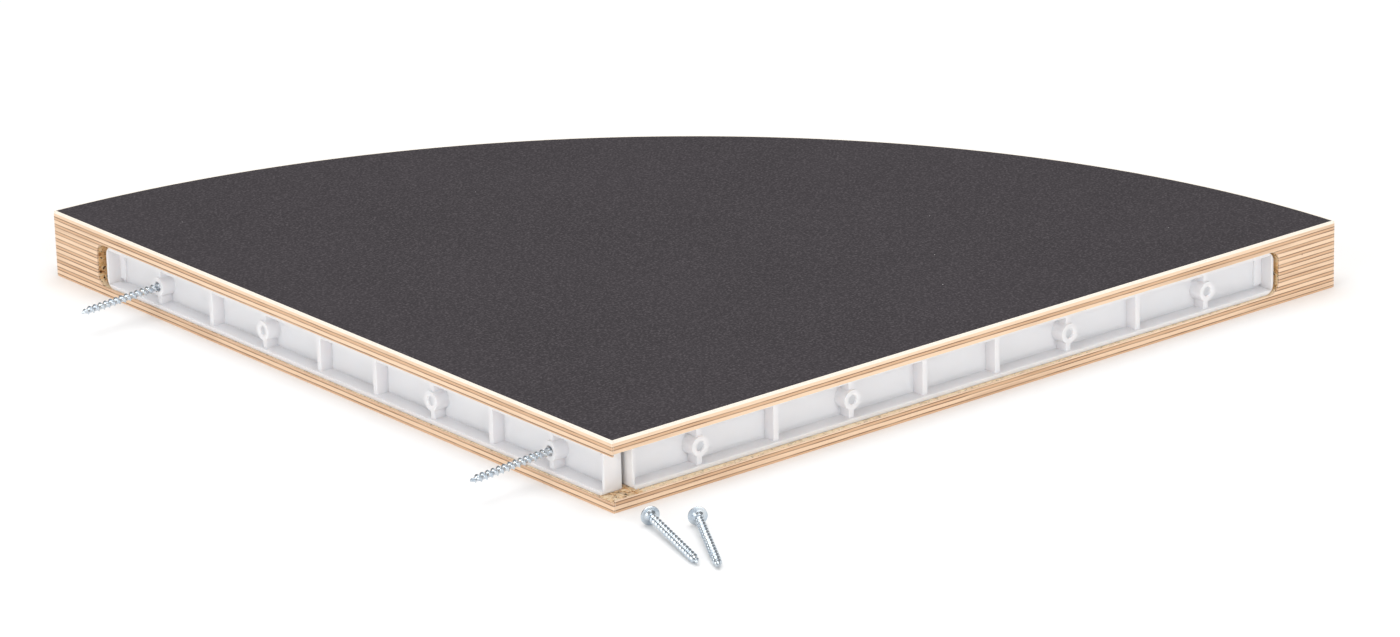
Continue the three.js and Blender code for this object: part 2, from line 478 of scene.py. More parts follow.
def wear_and_highlight_group() -> NodeTree:
    """Arrises, from how far the surface turns within a short reach: rubbed edges on some finishes, painted
    highlights on others.

    Returns:
        A group with a Mask that is 1 on an arris.
    """
    shader, given, result = new_group("EdgeWearAndHighlight", {"Reach": 0.4}, ["Mask"])
    reach = shader.maths("MULTIPLY", given.outputs["Reach"], MM)
    rounded = shader.node("Bevel", samples=6)
    shader.feed(rounded, Radius=reach)
    likeness = shader.node("VectorMath", operation="DOT_PRODUCT")
    shader.tree.links.new(rounded.outputs[0], likeness.inputs[0])
    shader.tree.links.new(shader.node("NewGeometry").outputs["True Normal"], likeness.inputs[1])
    fold = shader.maths("SUBTRACT", 1.0, likeness.outputs["Value"])
    shader.feed(result, Mask=shader.ramp(fold, 0.02, 0.2))
    return shader.tree


@dataclass(frozen=True)
class Groups:
    """The shader groups that several finishes share."""

    specks: NodeTree
    mottle: NodeTree
    wear_and_highlight: NodeTree


# ---------------------------------------------------------------- Finishes


@dataclass(frozen=True)
class Finish:
    """What every finish has: the shared groups, and a material with one Principled surface."""

    groups: Groups

    @property
    def name(self) -> str:
        """The material's name."""
        return type(self).__name__

    def start(self) -> tuple[Shader, Node, NodeSocket]:
        """Starts the material.

        Returns:
            The builder, the Principled node and the Object coordinates.
        """
        material = bpy.data.materials.new(self.name)
        material.use_nodes = True
        material.node_tree.nodes.clear()
        shader = Shader(material.node_tree)
        surface = shader.node("BsdfPrincipled")
        output = shader.node("OutputMaterial")
        shader.feed(output, Surface=surface.outputs[0])
        return shader, surface, shader.node("TexCoord").outputs["Object"]


@dataclass(frozen=True)
class DeckLaminate(Finish):
    """Anthracite laminate with an orange-peel skin whose crests carry a painted sheen, a few pale specks and
    faint rubbing.
    """

    colour: Colour = (0.031, 0.026, 0.030)
    pale: Colour = (0.040, 0.034, 0.039)
    # painted sheen on the crests of the skin
    crest: Colour = (0.105, 0.092, 0.100)
    speck: Colour = (0.42, 0.40, 0.40)
    rubbed: Colour = (0.16, 0.14, 0.14)
    roughness: float = 0.62
    peel: float = 1.3  # mm between the bumps of the skin
    peel_depth: float = 0.08
    cloud: float = 60.0  # mm, size of the slow change of tone

    def material(self) -> Material:
        """Builds the laminate."""
        shader, surface, place = self.start()
        cloud = shader.group(self.groups.mottle, Size=self.cloud, Contrast=1.6).outputs[0]
        skin = shader.noise(place, 1 / (self.peel * MM), detail=3, roughness=0.6)
        tone = shader.blend(cloud, self.colour, self.pale)
        # Painted sheen: the skin's crests are made lighter.
        tone = shader.blend(shader.ramp(skin, 0.42, 0.8), tone, self.crest)
        specks = shader.group(self.groups.specks, Spacing=22.0, Size=0.42, Share=0.55).outputs[0]
        wear_and_highlight = shader.group(self.groups.wear_and_highlight, Reach=0.3).outputs[0]
        tone = shader.tint(tone, wear_and_highlight, 0.35, self.rubbed)
        shader.feed(surface, Base_Color=shader.blend(specks, tone, self.speck))
        gloss = shader.maths("MULTIPLY_ADD", cloud, 0.08, self.roughness - 0.04)
        shader.feed(surface, Roughness=gloss, Normal=shader.dents(skin, self.peel_depth))
        surface.inputs["Specular IOR Level"].default_value = 0.16
        return bpy.data.materials[self.name]


@dataclass(frozen=True)
class BackingLaminate(Finish):
    """Plain dark balancing laminate, smoother than the deck."""

    colour: Colour = (0.075, 0.066, 0.064)
    pale: Colour = (0.105, 0.095, 0.09)
    scuffed: Colour = (0.2, 0.19, 0.18)
    scuffs: Grain = (30, 260, 260)
    cloud: float = 45.0  # mm, size of the slow change of tone
    peel: float = 2.4  # mm between the bumps of the skin
    peel_depth: float = 0.02

    def material(self) -> Material:
        """Builds the backing."""
        shader, surface, place = self.start()
        cloud = shader.group(self.groups.mottle, Size=self.cloud, Contrast=1.8).outputs[0]
        skin = shader.noise(place, 1 / (self.peel * MM), detail=2)
        scuffs = shader.grain(place, self.scuffs, detail=6, roughness=0.7)
        tone = shader.blend(cloud, self.colour, self.pale)
        tone = shader.tint(tone, shader.ramp(scuffs, 0.62, 0.72), 0.35, self.scuffed)
        shader.feed(surface, Base_Color=tone)
        gloss = shader.maths("MULTIPLY_ADD", cloud, 0.15, 0.45)
        shader.feed(surface, Roughness=gloss, Normal=shader.dents(skin, self.peel_depth))
        surface.inputs["Specular IOR Level"].default_value = 0.35
        return bpy.data.materials[self.name]


@dataclass(frozen=True)
class PlyBand(Finish):
    """Edge band striped like birch plywood: pale and tan plies between thin dark glue lines, with a painted
    highlight on its arrises.
    """

    top_line: float = 34.6  # mm above the underside, first glue line
    pair: float = 4.16  # mm, one tan ply and the pale ply under it
    tan_share: float = 0.41  # of a pair
    line: float = 0.5  # mm, thickness of a glue line
    pale: Colour = (0.95, 0.70, 0.49)
    tan: Colour = (0.76, 0.49, 0.30)
    brown: Colour = (0.50, 0.29, 0.16)
    glue: Colour = (0.21, 0.095, 0.04)
    knot: Colour = (0.26, 0.12, 0.05)
    # painted highlight: near-white colour for the band's arrises
    arris: Colour = (1.0, 0.92, 0.80)
    wander: float = 0.3  # mm, how far a ply strays up and down
    drift: Grain = (9, 9, 60)  # of the plies' slow straying
    ripple: Grain = (70, 70, 420)  # of their quick straying
    grain: Grain = (55, 55, 2600)
    fine_grain: Grain = (240, 240, 5200)
    stain: Grain = (13, 13, 300)
    fade: Grain = (34, 34, 420)  # of the glue lines along their length
    streak_shade: float = 0.85  # of the tan colour
    highlight_heights: tuple[float, float] = (36.2, 36.8)  # mm above the underside, where the painted highlight along the top arris begins

    def material(self) -> Material:
        """Builds the band."""
        shader, surface, place = self.start()
        split = shader.node("SeparateXYZ")
        shader.feed(split, Vector=place)
        drift = shader.grain(place, self.drift, detail=2)
        ripple = shader.grain(place, self.ripple, detail=3)
        stray = shader.maths("ADD", shader.maths("SUBTRACT", drift, 0.5),
                             shader.maths("MULTIPLY", shader.maths("SUBTRACT", ripple, 0.5), 0.5))
        height = shader.maths("MULTIPLY_ADD", split.outputs[2], 1 / MM, -self.top_line)
        height = shader.maths("MULTIPLY_ADD", stray, self.wander * 2, height)
        turns = shader.maths("MULTIPLY", height, -1 / self.pair)
        phase = shader.maths("FRACT", turns)
        in_line = self._lines(shader, phase)
        tan_ply = shader.maths("LESS_THAN", phase, self.tan_share)
        grain = shader.grain(place, self.grain, detail=5, roughness=0.65)
        fine = shader.grain(place, self.fine_grain, detail=2)
        tone = shader.blend(tan_ply, self.pale, self.tan)
        streak = [channel * self.streak_shade for channel in self.tan]
        tone = shader.tint(tone, shader.ramp(grain, 0.45, 0.8), 0.3, streak)
        tone = shader.tint(tone, shader.ramp(fine, 0.55, 0.8), 0.14, self.glue)
        stained = shader.grain(place, self.stain, detail=3)
        tone = shader.tint(tone, shader.ramp(stained, 0.5, 0.7), 0.4, self.brown)
        tone = shader.blend(self._patches(shader, place, in_line), tone, self.glue)
        knots = shader.group(self.groups.specks, Spacing=16.0, Size=0.8, Share=0.16).outputs[0]
        tone = shader.tint(tone, knots, 0.6, self.knot)
        # Painted highlight: near-white along the top arris, and on every arris painted highlight mixed with
        # some rubbed edge.
        top = shader.ramp(split.outputs[2], *(height * MM for height in self.highlight_heights))
        wear_and_highlight = shader.group(self.groups.wear_and_highlight, Reach=0.35).outputs[0]
        pale = shader.maths("MAXIMUM", top, shader.maths("MULTIPLY", wear_and_highlight, 0.75))
        tone = shader.blend(pale, tone, self.arris)
        shader.feed(surface, Base_Color=tone)
        gloss = shader.maths("MULTIPLY_ADD", grain, 0.12, 0.42)
        relief = shader.maths("SUBTRACT", shader.maths("MULTIPLY", grain, 0.4), in_line)
        shader.feed(surface, Roughness=gloss, Normal=shader.dents(relief, 0.03))
        surface.inputs["Specular IOR Level"].default_value = 0.4
        return bpy.data.materials[self.name]

    def _lines(self, shader: Shader, phase: NodeSocket) -> NodeSocket:
        """Mask of the two glue lines in each pair of plies."""
        half = self.line / self.pair / 2
        masks = []
        for middle in (0.0, self.tan_share, 1.0):
            away = shader.maths("ABSOLUTE", shader.maths("SUBTRACT", phase, middle))
            masks.append(shader.maths("SUBTRACT", 1.0, shader.ramp(away, half * 0.4, half * 1.6)))
        return shader.maths("MAXIMUM", masks[0], shader.maths("MAXIMUM", masks[1], masks[2]))

    def _patches(self, shader: Shader, place: object, lines: NodeSocket) -> NodeSocket:
        """Glue lines that fade and darken along their length."""
        fade = shader.grain(place, self.fade, detail=3)
        strength = shader.maths("MULTIPLY_ADD", shader.ramp(fade, 0.36, 0.62), 0.4, 0.55)
        return shader.maths("MULTIPLY", lines, strength)


@dataclass(frozen=True)
class Chipboard(Finish):
    """Raw pressed chips: golden flakes lying flat, pitted where they are cut across, paler where cut flat; the
    pits carry painted shade.
    """

    flake_colours: tuple[Colour, ...] = ((0.76, 0.44, 0.17), (0.93, 0.60, 0.30))
    pale: Colour = (0.98, 0.76, 0.48)
    straw: Colour = (1.0, 0.88, 0.68)
    bark: Colour = (0.46, 0.20, 0.07)
    fibre: Colour = (0.95, 0.68, 0.38)
    # dark colour of the pits: real voids, darkened with painted shade
    pit_shade: Colour = (0.05, 0.022, 0.010)
    flake: float = 2.0  # mm along a flake
    layer: float = 1.0  # mm through a flake
    straw_share: float = 0.6  # how far a face cut flat goes to straw
    fibres: Grain = (400, 400, 3000)
    warp: float = 260  # per metre, bends in the flakes
    warp_through: float = 2.4  # how much more a flake bends through the board
    holes: float = 460  # per metre, deep pits
    relief: float = 0.35  # mm

    def material(self) -> Material:
        """Builds the chipboard."""
        shader, surface, place = self.start()
        along, through = 1 / (self.flake * MM), 1 / (self.layer * MM)
        warp = shader.noise(place, self.warp, detail=3)
        push_by = shader.node("CombineXYZ")
        shader.feed(push_by, X=warp, Y=warp, Z=shader.maths("MULTIPLY", warp, self.warp_through))
        bent = shader.node("VectorMath", operation="ADD")
        shader.give(bent.inputs[0], shader.stretched(place, (along, along, through)))
        shader.give(bent.inputs[1], push_by.outputs[0])
        chips = shader.node("TexVoronoi", feature="F1")
        shader.feed(chips, Vector=bent.outputs[0], Scale=1.0)
        pick = shader.node("SeparateColor")
        shader.feed(pick, Color=chips.outputs["Color"])
        tone = shader.blend(shader.ramp(pick.outputs[0], 0.1, 0.7), *self.flake_colours)
        tone = shader.blend(shader.ramp(pick.outputs[1], 0.5, 0.85), tone, self.pale)
        tone = shader.blend(shader.ramp(pick.outputs[2], 0.84, 0.93), tone, self.bark)
        fibre = shader.grain(place, self.fibres, detail=4)
        tone = shader.tint(tone, shader.ramp(fibre, 0.5, 0.8), 0.45, self.fibre)
        facing = shader.node("SeparateXYZ")
        shader.feed(facing, Vector=shader.node("NewGeometry").outputs["True Normal"])
        cut_flat = shader.ramp(shader.maths("ABSOLUTE", facing.outputs[2]), 0.5, 0.9)
        tone = shader.tint(tone, cut_flat, self.straw_share, self.straw)
        # Gaps and holes between chips: real voids, darkened with painted shade.
        gaps = shader.ramp(chips.outputs["Distance"], 0.72, 1.0)
        holes = shader.ramp(shader.noise(place, self.holes, detail=2), 0.60, 0.64)
        pits = shader.maths("MAXIMUM", shader.maths("MULTIPLY", gaps, 0.6), holes)
        pits = shader.maths("MULTIPLY", pits, shader.maths("MULTIPLY_ADD", cut_flat, -0.65, 1.0))
        shader.feed(surface, Base_Color=shader.blend(pits, tone, self.pit_shade), Roughness=0.85)
        height = shader.maths("SUBTRACT", shader.maths("MULTIPLY_ADD", fibre, 0.3, pick.outputs[0]), pits)
        shader.feed(surface, Normal=shader.dents(height, self.relief))
        surface.inputs["Specular IOR Level"].default_value = 0.2
        return bpy.data.materials[self.name]


@dataclass(frozen=True)
class WhitePlastic(Finish):
    """Satin white moulding, faintly translucent, with flow marks, a little dust and a painted highlight on its
    arrises.
    """

    colour: Colour = (0.86, 0.855, 0.875)
    warm: Colour = (0.84, 0.82, 0.825)
    # painted highlight: paler colour for the arrises
    rim: Colour = (0.91, 0.905, 0.925)
    dust: Colour = (0.55, 0.45, 0.35)
    roughness: float = 0.36
    flow: Grain = (40, 40, 320)
    skin: float = 0.7  # mm between the bumps of the skin
    glow: float = 4.0  # mm that light goes in

    def material(self) -> Material:
        """Builds the plastic."""
        shader, surface, place = self.start()
        cloud = shader.group(self.groups.mottle, Size=26.0, Contrast=1.4).outputs[0]
        flow = shader.grain(place, self.flow, detail=3)
        tone = shader.tint(self.colour, cloud, 0.5, self.warm)
        wear_and_highlight = shader.group(self.groups.wear_and_highlight, Reach=0.35).outputs[0]
        # Painted highlight: the arrises are made lighter than the faces.
        tone = shader.tint(tone, wear_and_highlight, 0.7, self.rim)
        dust = shader.group(self.groups.specks, Spacing=9.0, Size=0.28, Share=0.22).outputs[0]
        tone = shader.tint(tone, dust, 0.35, self.dust)
        shader.feed(surface, Base_Color=tone)
        gloss = shader.maths("MULTIPLY_ADD", flow, 0.16, self.roughness - 0.08)
        skin = shader.noise(place, 1 / (self.skin * MM), detail=2)
        height = shader.maths("MULTIPLY_ADD", skin, 0.3, flow)
        shader.feed(surface, Roughness=gloss, Normal=shader.dents(height, 0.02))
        surface.inputs["Subsurface Weight"].default_value = 0.6
        surface.inputs["Subsurface Radius"].default_value = (1.0, 0.9, 0.85)
        surface.inputs["Subsurface Scale"].default_value = self.glow * MM
        return bpy.data.materials[self.name]


@dataclass(frozen=True)
class ZincPlate(Finish):
    """Bright zinc with a cool cast, rubbed crests and faint tumbling marks."""

    colour: Colour = (0.66, 0.70, 0.73)
    cool: Colour = (0.50, 0.58, 0.66)
    bright: Colour = (0.90, 0.92, 0.93)
    marks: float = 2600  # per metre
    marks_depth: float = 0.008

    def material(self) -> Material:
        """Builds the zinc plate."""
        shader, surface, place = self.start()
        cloud = shader.group(self.groups.mottle, Size=3.0, Contrast=2.2).outputs[0]
        wear_and_highlight = shader.group(self.groups.wear_and_highlight, Reach=0.15).outputs[0]
        tone = shader.blend(cloud, self.colour, self.cool)
        tone = shader.blend(wear_and_highlight, tone, self.bright)
        shader.feed(surface, Base_Color=tone)
        surface.inputs["Metallic"].default_value = 1.0
        gloss = shader.maths("MULTIPLY_ADD", cloud, 0.16, 0.16)
        marks = shader.noise(place, self.marks, detail=3)
        shader.feed(surface, Roughness=gloss, Normal=shader.dents(marks, self.marks_depth))
        return bpy.data.materials[self.name]


# ---------------------------------------------------------------- Board


@dataclass(frozen=True)
class Pocket:
    """Room routed along a straight edge for a rail, in millimetres."""

    floor: float
    depth: float
    height: float = 24.6
    end: float = 458.0  # closed end, from the square corner
    end_radius: float = 6.5

    @property
    def roof(self) -> float:
        """Height of its upper side."""
        return self.floor + self.height


@dataclass
class Board:
    """Chipboard core, two laminates and three edge bands, all on the body panel."""

    body: str = "panel"
    band_arris: float = 0.35
    sheet_arris: float = 0.12
    round_steps: int = 240
    splinters: int = 150
    splinter_seed: int = 7
    on_step: float = 0.6  # share of the splinters that lie along the step
    step_spread: float = 1.2
    ledge: tuple[float, float] = (1.5, 16)  # where the other splinters lie, along X
    ledge_width: tuple[float, float] = (1.5, 15.5)  # and all of them along Y
    pockets: tuple[Pocket, Pocket] = (Pocket(floor=4.9, depth=17.0), Pocket(floor=6.2, depth=18.6))

    def __post_init__(self) -> None:
        """Reads the board's sizes from the frame."""
        low, high = millimetres("edge_band_round")
        self.radius = high.x - low.x
        self.thickness = high.z
        self.corner = Vector((low.x, low.y, 0))
        band_low, band_high = millimetres("edge_band_left")
        self.band = band_high.x - band_low.x
        self.straight_end = band_high.y - self.corner.y

    def build(self, ply: Material, deck: Material,
              backing: Material, chips: Material) -> None:
        """Makes and dresses every piece of the board.

        Args:
            ply: Finish of the edge bands.
            deck: Finish of the deck laminate.
            backing: Finish of the backing laminate.
            chips: Finish of the core.
        """
        for side, pocket in zip(Side, self.pockets):
            node = f"edge_band_{side.value}"
            fit(self._straight_band(side, pocket), self.body, "ply_band", ply, node)
        fit(self._round_band(), self.body, "ply_band", ply, "edge_band_round")
        fit(self._sheet("deck_laminate"), self.body, "deck_laminate", deck, "deck_laminate")
        fit(self._sheet("backing_laminate"), self.body, "backing_laminate", backing, "backing_laminate")
        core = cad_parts["core_board"]
        core.data.materials.clear()
        core.data.materials.append(chips)
        fit(self._splinters(), self.body, "chipboard", chips)

    def _straight_band(self, side: Side, pocket: Pocket) -> Object:
        """Band with its pocket cut out, open through the square corner."""
        start = 0.0 if side is Side.LEFT else millimetres("edge_band_right")[0].x - self.corner.x
        length = self.straight_end - start
        middle = (start + length / 2, self.band / 2, self.thickness / 2)
        bm = block((length, self.band, self.thickness), middle)
        cut(bm, Axis.X, pocket.end)
        cut(bm, Axis.Z, pocket.floor)
        cut(bm, Axis.Z, pocket.roof)

        def in_pocket(middle: Vector) -> bool:
            """True on the front, back and corner faces of the part that is cut away."""
            return middle.x < pocket.end - 1 and pocket.floor < middle.z < pocket.roof

        bmesh.ops.delete(bm, geom=faces_where(bm, in_pocket), context="FACES")
        rims = [edge for edge in bm.edges if edge.is_boundary]
        bmesh.ops.bridge_loops(bm, edges=[e for e in rims if self._faces_pocket(e, start)])
        merged(bm)
        inner = edges_where(bm, lambda m, d: abs(d.y) > ALONG and abs(m.x - pocket.end) < NEAR
                            and pocket.floor - 0.1 < m.z < pocket.roof + 0.1)
        round_over(bm, inner, pocket.end_radius, 8)
        place = Matrix.Translation(self.corner) @ side.matrix
        piece = as_object(bm, f"ply_edge_{side.value}", place)
        soften(piece, self.band_arris)
        return piece

    def _faces_pocket(self, edge: BMEdge, start: float) -> bool:
        """True for a rim edge on the front or the back of a band, and false at its corner end."""
        first, last = (vert.co for vert in edge.verts)
        return min(first.x, last.x) >= start and abs(first.y - last.y) < NEAR

    def _round_band(self) -> Object:
        """Band round the quarter circle."""
        bm = bmesh.new()
        bmesh.ops.create_grid(bm, x_segments=1, y_segments=1, size=0.5)
        bmesh.ops.rotate(bm, verts=bm.verts, matrix=Matrix.Rotation(math.pi / 2, 3, "X"))
        bmesh.ops.scale(bm, verts=bm.verts, vec=(self.band, 1, self.thickness))
        bmesh.ops.translate(bm, verts=bm.verts, vec=(self.radius - self.band / 2, 0, self.thickness / 2))
        bmesh.ops.spin(bm, geom=whole(bm), cent=(0, 0, 0), axis=Axis.Z.value,
                       angle=math.pi / 2, steps=self.round_steps)
        if max(vert.co.y for vert in bm.verts) < 1:
            bmesh.ops.rotate(bm, verts=bm.verts, matrix=Matrix.Rotation(math.pi / 2, 3, "Z"))
        merged(bm)
        piece = as_object(bm, "ply_edge_round", Matrix.Translation(self.corner))
        soften(piece, self.band_arris)
        return piece

    def _sheet(self, node: str) -> Object:
        """Laminate cut to the quarter circle inside the bands."""
        low, high = millimetres(node)
        bm = bmesh.new()
        reach = high.x - self.corner.x
        bmesh.ops.create_circle(bm, cap_ends=True, radius=reach, segments=4 * self.round_steps)
        for axis in (Axis.X, Axis.Y):
            inset = (low - self.corner).dot(axis.value)
            bmesh.ops.bisect_plane(bm, geom=whole(bm), dist=1e-4, plane_co=axis.value * inset,
                                   plane_no=axis.value, clear_inner=True)
        bmesh.ops.translate(bm, verts=bm.verts, vec=(0, 0, low.z))
        push(bm, list(bm.faces), Vector((0, 0, high.z - low.z)), leave=True)
        merged(bm)
        piece = as_object(bm, node.replace("laminate", "sheet"), Matrix.Translation(self.corner))
        soften(piece, self.sheet_arris)
        return piece

    def _splinters(self) -> Object:
        """Loose and torn chips along the step between the two pocket floors and on the ledges."""
        draw = random.Random(self.splinter_seed)
        left, right = self.pockets
        bm = bmesh.new()
        for _ in range(self.splinters):
            along_step = draw.random() < self.on_step
            x = draw.gauss(left.depth - 1, self.step_spread) if along_step else draw.uniform(*self.ledge)
            y = draw.uniform(*self.ledge_width)
            floor = left.floor if x < left.depth else right.floor
            self._chip(bm, draw, Vector((x, y, floor)))
        piece = as_object(bm, "core_splinters", Matrix.Translation(self.corner))
        piece.data.shade_flat()
        return piece

    def _chip(self, bm: BMesh, draw: random.Random, place: Vector) -> None:
        """One thin five-sided flake, bent and tipped."""
        spin = Matrix.Rotation(draw.uniform(0, math.tau), 4, "Z")
        turn = spin @ Matrix.Rotation(draw.gauss(0, 0.35), 4, "X")
        lift = Matrix.Translation(place + Vector((0, 0, draw.uniform(0.1, 0.45))))
        size = Matrix.Diagonal((draw.uniform(0.5, 2.2), draw.uniform(0.25, 0.7), 1, 1))
        made = bmesh.ops.create_circle(bm, cap_ends=True, radius=1.0, segments=5, matrix=lift @ turn @ size)
        face = made["verts"][0].link_faces[0]
        push(bm, [face], Vector((0, 0, draw.uniform(0.12, 0.3))), leave=True)


# ---------------------------------------------------------------- Fixing rails


@dataclass
class FixingRail:
    """One-piece moulding of open cells, with ribs and four screw bosses, drawn for the right edge.

    X runs along the edge from the middle of the fixing holes, Y from the open front back into the
    board, and Z up from the lower side, in millimetres.
    """

    side: Side
    height: float = 24.2
    depth: float = 13.0
    corner_end: float = -216.0
    far_end: float = 221.8
    pitch: float = 49.6
    wall: float = 2.2
    end_wall: float = 1.6
    far_radius: float = 5.5
    corner_radius: float = 1.2
    floor_front: float = 9.0
    floor_back: float = 10.5
    rib_set_back: float = 2.0
    rib: float = 3.2
    boss_radius: float = 5.4
    boss_front: float = 0.8
    boss_foot: float = 0.5  # how much wider the foot is
    boss_neck: float = 0.15  # how much wider it still is where the foot ends
    boss_draft: float = 0.1
    boss_skirt: float = 0.9  # height of the foot
    boss_root: float = 0.4  # how far the foot goes into the web
    hole_radius: float = 2.6
    hole_lead: float = 0.3  # broken edge at the mouth of a hole
    tool_past: float = 2.0  # how far a cutting tool stands out of the rail
    web_depth: float = 1.3  # of the thin web left in a hole that no screw has been through
    web: float = 0.5
    step: float = 0.35  # raised middle of each cell's floor
    step_margin: float = 1.7
    draft: float = 0.25  # a cell is this much narrower at its floor, each side
    arris: float = 0.28
    pad_width: float = 4.5
    pad_height: float = 1.6
    pad_margin: float = 2.0
    boss_places: tuple[float, ...] = (-3.5, -1.5, 1.5, 3.5)
    rib_places: tuple[float, ...] = (-2.5, -0.5, 0.5, 2.5)
    screwed: tuple[float, ...] = ()  # bosses that a screw goes through

    @property
    def node(self) -> str:
        """The CAD node, and the body, that this rail stands for."""
        return f"{self.side.value}_rail"

    def build(self, plastic: Material) -> None:
        """Makes the rail, cuts its holes and puts it on its body.

        Args:
            plastic: Its finish.
        """
        piece = as_object(self._moulding(), f"fixing_{self.node}", Matrix.Identity(4))
        carve(piece, self._pad(), "UNION")
        for place in self.boss_places:
            carve(piece, self._boss(place * self.pitch), "UNION")
        for place in self.boss_places:
            carve(piece, self._hole(place * self.pitch, place in self.screwed), "DIFFERENCE")
        bm = bmesh.new()
        bm.from_mesh(piece.data)
        bpy.data.objects.remove(piece)
        bm.transform(Matrix.Scale(1 / MM, 4))
        bmesh.ops.remove_doubles(bm, verts=bm.verts, dist=0.01)
        bmesh.ops.dissolve_limit(bm, angle_limit=math.radians(0.5), verts=bm.verts, edges=bm.edges)
        rail = as_object(bm, f"fixing_{self.node}", self._seat())
        soften(rail, self.arris, segments=2, angle=25)
        fit(rail, self.node, "white_plastic", plastic, self.node)

    def _seat(self) -> Matrix:
        """Place of the rail in its pocket, from the CAD node's box: its middle and its small turn."""
        low, high = millimetres(self.node)
        size = self.side.matrix @ (high - low)
        skew = math.asin((size.y - self.depth) / (self.far_end - self.corner_end))
        middle = Vector(((self.corner_end + self.far_end) / 2, self.depth / 2, self.height / 2))
        return (
            Matrix.Translation((low + high) / 2) @ self.side.matrix
            @ Matrix.Rotation(-skew, 4, "Z") @ Matrix.Translation(-middle)
        )

    def _cells(self) -> list[tuple[float, float]]:
        """Start and end of each cell along the rail."""
        ribs = sorted(place * self.pitch for place in (*self.rib_places, *self.boss_places))
        starts = [self.corner_end + self.end_wall, *(rib + self.rib / 2 for rib in ribs)]
        ends = [*(rib - self.rib / 2 for rib in ribs), self.far_end - self.end_wall]
        return list(zip(starts, ends))

    def _moulding(self) -> BMesh:
        """Block with round corners, its cells pushed in from the front and a shallow hollow behind."""
        length = self.far_end - self.corner_end
        middle = (self.corner_end + length / 2, self.depth / 2, self.height / 2)
        bm = block((length, self.depth, self.height), middle)
        rounds = ((self.far_end, self.far_radius, 8), (self.corner_end, self.corner_radius, 4))
        for end, radius, segments in rounds:
            corners = edges_where(bm, lambda m, d: abs(d.y) > ALONG and abs(m.x - end) < NEAR)
            round_over(bm, corners, radius, segments)
        cells = self._cells()
        for start, end in cells:
            cut(bm, Axis.X, start)
            cut(bm, Axis.X, end)
        cut(bm, Axis.Z, self.wall)
        cut(bm, Axis.Z, self.height - self.wall)
        cut(bm, Axis.Y, self.rib_set_back)
        self._open_front(bm)
        for start, end in cells:
            self._sink(bm, start, end)
        self._hollow_back(bm)
        merged(bm)
        self._round_cells(bm)
        return bm

    def _between_walls(self, middle: Vector) -> bool:
        """True between the top wall and the bottom wall, short of the far end wall."""
        return self.wall < middle.z < self.height - self.wall and middle.x < self.far_end - self.end_wall

    def _open_front(self, bm: BMesh) -> None:
        """Sets the ribs and the corner end wall back from the front of the walls."""
        front = faces_where(bm, lambda m: abs(m.y) < NEAR and self._between_walls(m))
        push(bm, front, Vector((0, self.rib_set_back, 0)))
        opening = faces_where(bm, lambda m: abs(m.x - self.corner_end) < NEAR
                              and m.y < self.rib_set_back - 0.1 and self._between_walls(m))
        bmesh.ops.delete(bm, geom=opening, context="FACES")
        merged(bm)

    def _sink(self, bm: BMesh, start: float, end: float) -> None:
        """Pushes one cell in to its floor, with draft, and raises the middle of that floor."""
        mouth = faces_where(bm, lambda m: abs(m.y - self.rib_set_back) < NEAR and start < m.x < end
                            and self._between_walls(m))
        floor = push(bm, mouth, Vector((0, self.floor_front - self.rib_set_back, 0)))
        draw_in(floor, self.draft)
        bmesh.ops.inset_region(bm, faces=floor, thickness=self.step_margin, use_even_offset=True)
        low, high = start + self.step_margin, end - self.step_margin
        raised = faces_where(bm, lambda m: abs(m.y - self.floor_front) < NEAR and low < m.x < high
                             and abs(m.z - self.height / 2) < 1)
        push(bm, raised, Vector((0, -self.step, 0)))

    def _hollow_back(self, bm: BMesh) -> None:
        """Thins the web from behind, cell by cell."""
        for start, end in self._cells():
            back = faces_where(bm, lambda m: abs(m.y - self.depth) < NEAR and start < m.x < end
                               and self._between_walls(m))
            push(bm, back, Vector((0, self.floor_back - self.depth, 0)))

    def _round_cells(self, bm: BMesh) -> None:
        """Fillets the two inner corners beside the rounded far end, front and back."""
        inside = self.far_radius - self.end_wall
        limit = self.far_end - self.end_wall
        corners = edges_where(bm, lambda m, d: abs(d.y) > ALONG and limit - 1 < m.x < limit + NEAR
                              and min(abs(m.z - self.wall), abs(self.height - self.wall - m.z)) < 0.6)
        round_over(bm, corners, inside * 0.8, 6)

    def _pad(self) -> Object:
        """Low pad across the floor of the last cell, against the far end wall."""
        wall_middle = self.far_end - self.end_wall / 2
        width = self.pad_width + self.end_wall
        front = self.floor_front - self.pad_height
        back = self.floor_back - self.step
        size = (width, back - front, self.height - 2 * (self.wall + self.pad_margin))
        middle = Vector((wall_middle - width / 2, (front + back) / 2, self.height / 2))
        return as_object(block(size), "pad_tool", Matrix.Translation(middle))

    def _boss(self, place: float) -> Object:
        """Round boss that stands on the web, a little wider at its foot."""
        bm = bmesh.new()
        root = self.floor_back - self.boss_root
        foot, neck = self.boss_radius + self.boss_foot, self.boss_radius + self.boss_neck
        profile = (
            (0, root), (foot, root), (foot, self.floor_front - 0.1),
            (neck, self.floor_front - self.boss_skirt),
            (self.boss_radius - self.boss_draft, self.boss_front), (0, self.boss_front),
        )
        turned(bm, profile, 48)
        merged(bm)
        return as_object(bm, "boss_tool", Matrix.Translation((place, 0, self.height / 2)))

